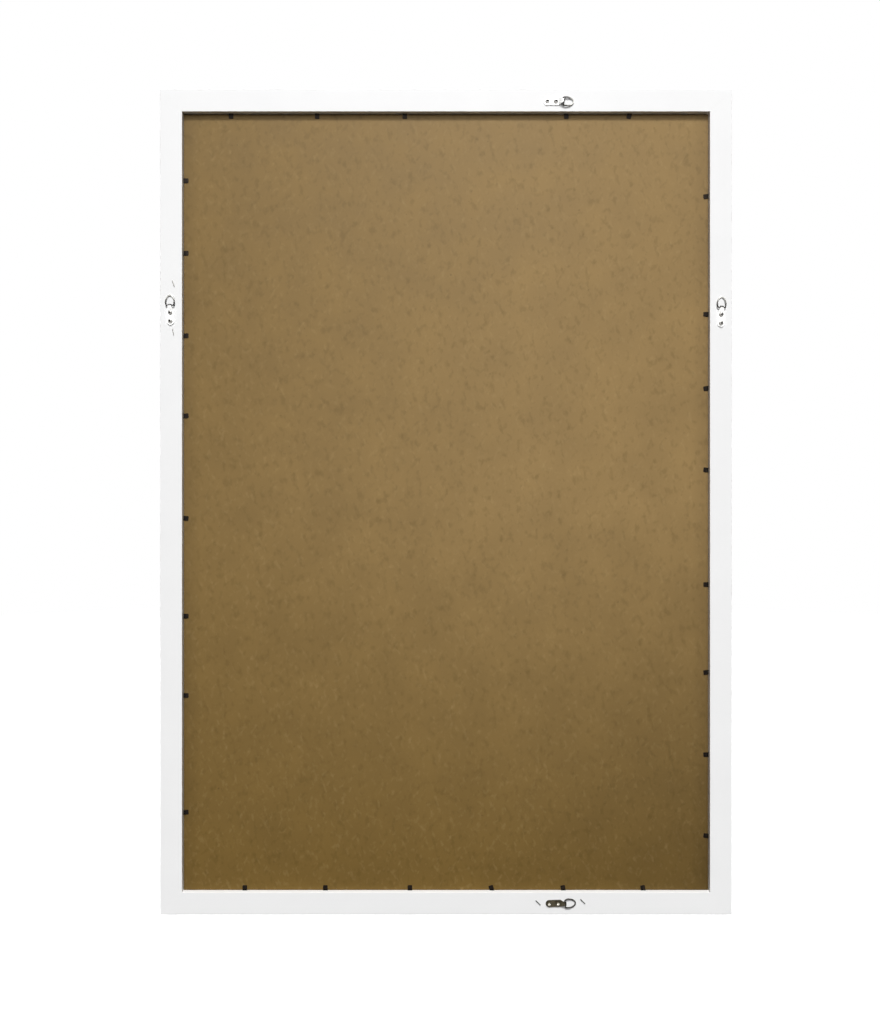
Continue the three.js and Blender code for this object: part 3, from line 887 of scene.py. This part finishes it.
# Painted shade for the recess, in dark patches.
recess_shade, tree, shader, place = new_material("screw_recess_painted_shade")
shader.inputs["Roughness"].default_value = 0.5
patches = add_node(tree, "TexNoise", {"Scale": 1 / RECESS_SHADE_PATCH, "Detail": 4}, {"Vector": place})
tone = add_node(
    tree,
    "MixRGB",
    {"Color1": srgb(RECESS_SHADE), "Color2": srgb(RECESS_RIM)},
    {"Fac": patches.outputs["Fac"]},
)
tree.links.new(tone.outputs["Color"], shader.inputs["Base Color"])
bpy.ops.mesh.primitive_cone_add(
    vertices=24,
    radius1=PIT_FLOOR,
    radius2=2 * PIT_MOUTH - PIT_FLOOR,
    depth=2 * RECESS_DEPTH,
    location=(0, 0, HEAD_TOP),
)
pit = bpy.context.object
pit.data.materials.append(recess_shade)
cut_out(screw, pit)
for turn in (0, math.pi / 2):
    bpy.ops.object.select_all(action="DESELECT")
    bpy.ops.mesh.primitive_cube_add(size=1, location=(0, 0, HEAD_TOP), rotation=(0, 0, turn))
    bpy.context.object.scale = (RECESS_LENGTH, RECESS_WIDTH, 2 * RECESS_DEPTH)
    arm = start_piece("recess_arm")
    pick("FACE", lambda middle, face: face.normal.z < -FACING)
    bpy.ops.transform.resize(
        value=(RECESS_TAPER, RECESS_TAPER, 1), center_override=(0, 0, HEAD_TOP - RECESS_DEPTH)
    )
    bpy.ops.object.mode_set(mode="OBJECT")
    arm.data.materials.append(recess_shade)
    cut_out(screw, arm)

# How far each strap's two screws were driven round, in degrees.
SCREW_TURNS = {"top": (15, 62), "bottom": (40, 5), "left": (70, 28), "right": (52, 10)}
for joint in frame["joints"]:
    body = joint["child"]
    if body.startswith("ring"):
        side = body.removeprefix("ring_")
        bar = Vector(joint["pos_m"])
        place = facing_back(Vector(joint["axis"]), (bar.x, 0, bar.z))
        # The lower hanger is painted dark as a painted reflection of dark surroundings.
        darker = side == "bottom"
        side_strap = copy_piece(strap, "plated_strap_" + side)
        settle(side_strap, place)
        side_strap.data.materials[0] = plate_dark_reflection if darker else bright_plate
        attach(side_strap, "frame")
        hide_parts("hanger_strap_" + side)
        side_ring = copy_piece(ring, "wire_ring_" + side)
        settle(side_ring, place)
        side_ring.data.materials.append(wire_dark_reflection if darker else wire_plate)
        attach(side_ring, body)
        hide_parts("hanger_ring_" + side)
        for number, (at, turn) in enumerate(zip(SCREWS_AT, SCREW_TURNS[side]), 1):
            spot = Matrix.Translation((at, 0, 0)) @ Matrix.Rotation(math.radians(turn), 4, "Z")
            side_screw = copy_piece(screw, f"pan_screw_{side}_{number}")
            settle(side_screw, place @ spot)
            # On the lower rail: heads with the painted dark reflection, recess with a painted highlight.
            if darker:
                side_screw.data.materials[0] = plate_dark_reflection
                side_screw.data.materials[1] = screw_painted_highlight
            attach(side_screw, "frame")
            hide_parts(f"hanger_screw_{side}_{number}")
for pattern in (strap, ring, screw):
    bpy.data.objects.remove(pattern)


# Staples.
# Wire staples shot into the rail beside two of the hangers and left in, with their crowns just proud.
STAPLE_CROWN = 8.5 * MM
STAPLE_WIDTH = 1 * MM
STAPLE_WIRE = 0.7 * MM
STAPLE_LEG = 5.7 * MM
STAPLE_TOP = 1 * MM
STAPLE_BEND = 0.5 * MM
STAPLE_EASE = 0.12 * MM
STAPLE_SHARP = math.radians(60)

# How far each crown is turned from level, in degrees, anticlockwise from behind.
STAPLE_TURNS = {
    "staple_bottom_1": -45,
    "staple_bottom_2": -45,
    "staple_left_1": -71,
    "staple_left_2": -82,
}

leg_inside = STAPLE_CROWN / 2 - STAPLE_WIRE
bpy.ops.object.select_all(action="DESELECT")
bpy.ops.mesh.primitive_cube_add(size=1, location=(0, 0, STAPLE_TOP - STAPLE_WIRE / 2))
bpy.context.object.scale = (STAPLE_CROWN, STAPLE_WIDTH, STAPLE_WIRE)
staple = start_piece("staple_pattern")
for end in (-1, 1):
    cut((end * leg_inside, 0, 0), (1, 0, 0))
pick("FACE", lambda middle, face: face.normal.z < -FACING and abs(middle.x) > leg_inside)
bpy.ops.mesh.extrude_region_move(
    TRANSFORM_OT_translate={"value": (0, 0, STAPLE_WIRE - STAPLE_TOP - STAPLE_LEG)}
)
pick(
    "EDGE",
    lambda middle, edge: abs(middle.z - STAPLE_TOP) < TOUCH and abs(middle.x) > STAPLE_CROWN / 2 - TOUCH,
)
bpy.ops.mesh.bevel(offset=STAPLE_BEND, segments=4, profile=0.5, affect="EDGES")
bpy.ops.object.mode_set(mode="OBJECT")
finish_piece(
    staple, "BEVEL", width=STAPLE_EASE, segments=2, limit_method="ANGLE", angle_limit=STAPLE_SHARP
)

# Galvanised staple wire: matt grey, spotted darker where it was struck. On the lower rail it is dark grey
# instead, as a painted dark reflection, like the hanger there.
STAPLE_GREY = "#9b9a97"
STAPLE_DARK = "#6c6a66"
STAPLE_SPOT = 2 * MM

staple_wire, tree, shader, place = new_material("galvanised_wire")
shader.inputs["Metallic"].default_value = 1
spots = add_node(tree, "TexNoise", {"Scale": 1 / STAPLE_SPOT, "Detail": 4}, {"Vector": place})
tone = add_node(
    tree,
    "MixRGB",
    {"Color1": srgb(STAPLE_GREY), "Color2": srgb(STAPLE_DARK)},
    {"Fac": spots.outputs["Fac"]},
)
gloss = add_node(tree, "MapRange", {"To Min": 0.35, "To Max": 0.55}, {"Value": spots.outputs["Fac"]})
tree.links.new(tone.outputs["Color"], shader.inputs["Base Color"])
tree.links.new(gloss.outputs["Result"], shader.inputs["Roughness"])
for name, turn in STAPLE_TURNS.items():
    low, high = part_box(name)
    middle = (low + high) / 2
    side_staple = copy_piece(staple, "wire_" + name)
    direction = Matrix.Rotation(math.radians(turn), 4, "Z")
    settle(side_staple, facing_back(Vector((0, 0, -1)), (middle.x, 0, middle.z)) @ direction)
    # The lower rail's staples take the dark grey of the painted dark reflection.
    side_staple.data.materials.append(wire_dark_reflection if "bottom" in name else staple_wire)
    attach(side_staple, "frame")
    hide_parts(name)
bpy.data.objects.remove(staple)


# Studio.
# A pale floor under the frame's lower edge, which runs out into a white room: white to the camera, to
# reflections and through the glazing, and dimmer to the object, so that its light comes mostly from
# above.
STUDIO_WHITE = "#ffffff"
FLOOR_TO_OBJECT = "#303030"
FLOOR_UNLIT = "#000000"
FLOOR_SIZE = 14
FLOOR_NEAR = 1.5
FLOOR_FAR = 4
AMBIENT_ABOVE = 0.25
AMBIENT_FROM = 0.4
AMBIENT_FULL = 0.8


def seen_white(tree):
    """A socket that is 1 for camera, glossy and transmission rays, and 0 for the object's own light."""
    path = add_node(tree, "LightPath", {}, {})
    seen = path.outputs["Is Camera Ray"]
    for ray in ("Is Glossy Ray", "Is Transmission Ray"):
        seen = add_node(
            tree, "Math", {"operation": "MAXIMUM"}, {0: seen, 1: path.outputs[ray]}
        ).outputs["Value"]
    return seen


bpy.ops.object.select_all(action="DESELECT")
bpy.ops.mesh.primitive_plane_add(size=FLOOR_SIZE, location=(0, 0, cad_low.z))
floor = bpy.context.object
floor.name = "studio_floor"
floor_paint, tree, shader, place = new_material("matt_floor")
seen = seen_white(tree)
reach = add_node(tree, "VectorMath", {"operation": "LENGTH"}, {0: place})
away = add_node(
    tree, "MapRange", {"From Min": FLOOR_NEAR, "From Max": FLOOR_FAR}, {"Value": reach.outputs["Value"]}
)
white = add_node(
    tree,
    "MixRGB",
    {"Color1": srgb(STUDIO_WHITE), "Color2": srgb(FLOOR_UNLIT)},
    {"Fac": away.outputs["Result"]},
)
colour = add_node(
    tree, "MixRGB", {"Color1": srgb(FLOOR_TO_OBJECT)}, {"Fac": seen, "Color2": white.outputs["Color"]}
)
glow = add_node(tree, "Math", {"operation": "MULTIPLY"}, {0: seen, 1: away.outputs["Result"]})
shader.inputs["Roughness"].default_value = 1
shader.inputs["Specular IOR Level"].default_value = 0
shader.inputs["Emission Color"].default_value = srgb(STUDIO_WHITE)
tree.links.new(colour.outputs["Color"], shader.inputs["Base Color"])
tree.links.new(glow.outputs["Value"], shader.inputs["Emission Strength"])
floor.data.materials.append(floor_paint)

room = bpy.data.worlds.new("studio_room")
room.use_nodes = True
tree = room.node_tree
background = tree.nodes["Background"]
background.inputs["Color"].default_value = srgb(STUDIO_WHITE)
direction = add_node(tree, "TexCoord", {}, {})
axes = add_node(tree, "SeparateXYZ", {}, {"Vector": direction.outputs["Generated"]})
ambient = add_node(
    tree,
    "MapRange",
    {"From Min": AMBIENT_FROM, "From Max": AMBIENT_FULL, "To Max": AMBIENT_ABOVE},
    {"Value": axes.outputs["Z"]},
)
strength = add_node(
    tree,
    "MapRange",
    {"To Max": 1},
    {"Value": seen_white(tree), "To Min": ambient.outputs["Result"]},
)
tree.links.new(strength.outputs["Result"], background.inputs["Strength"])
bpy.context.scene.world = room

# A soft key lamp high behind the camera, a broad fill below it, and a small lamp either side for the
# frame's front and outer edges, which leaves no glare on them.
for name, spot, size, power, mirrored in (
    ("key_lamp", (0.3, -13.2, 15.9), 4, 3960, True),
    ("fill_lamp", (0.15, -9.2, 4.4), 7.2, 475, True),
    ("left_lamp", (-4.2, 2.1, 0.15), 0.8, 200, False),
    ("right_lamp", (4.2, 2.1, 0.15), 0.8, 200, False),
):
    bpy.ops.object.light_add(type="AREA", location=spot)
    lamp = bpy.context.object
    lamp.name = name
    lamp.rotation_euler = (FRAME_MIDDLE - lamp.location).to_track_quat("-Z", "Y").to_euler()
    lamp.data.shape = "DISK"
    lamp.data.size = size
    lamp.data.energy = power
    lamp.visible_glossy = mirrored


# Camera.
# It looks level at the back from a little over a metre, with the frame a little right of and above the
# picture's middle.
CAMERA_DISTANCE = 1.15
CAMERA_LEFT = 7.83 * MM
CAMERA_DOWN = 11.74 * MM
PICTURE_HEIGHT = 1.3333
SENSOR = 36

bpy.ops.object.camera_add(
    location=(-CAMERA_LEFT, -CAMERA_DISTANCE, FRAME_MIDDLE.z - CAMERA_DOWN),
    rotation=(math.pi / 2, 0, 0),
)
camera = bpy.context.object
camera.name = "camera"
camera.data.sensor_width = SENSOR
camera.data.lens = SENSOR * CAMERA_DISTANCE / PICTURE_HEIGHT
bpy.context.scene.camera = camera
bpy.context.scene.view_settings.view_transform = "Standard"
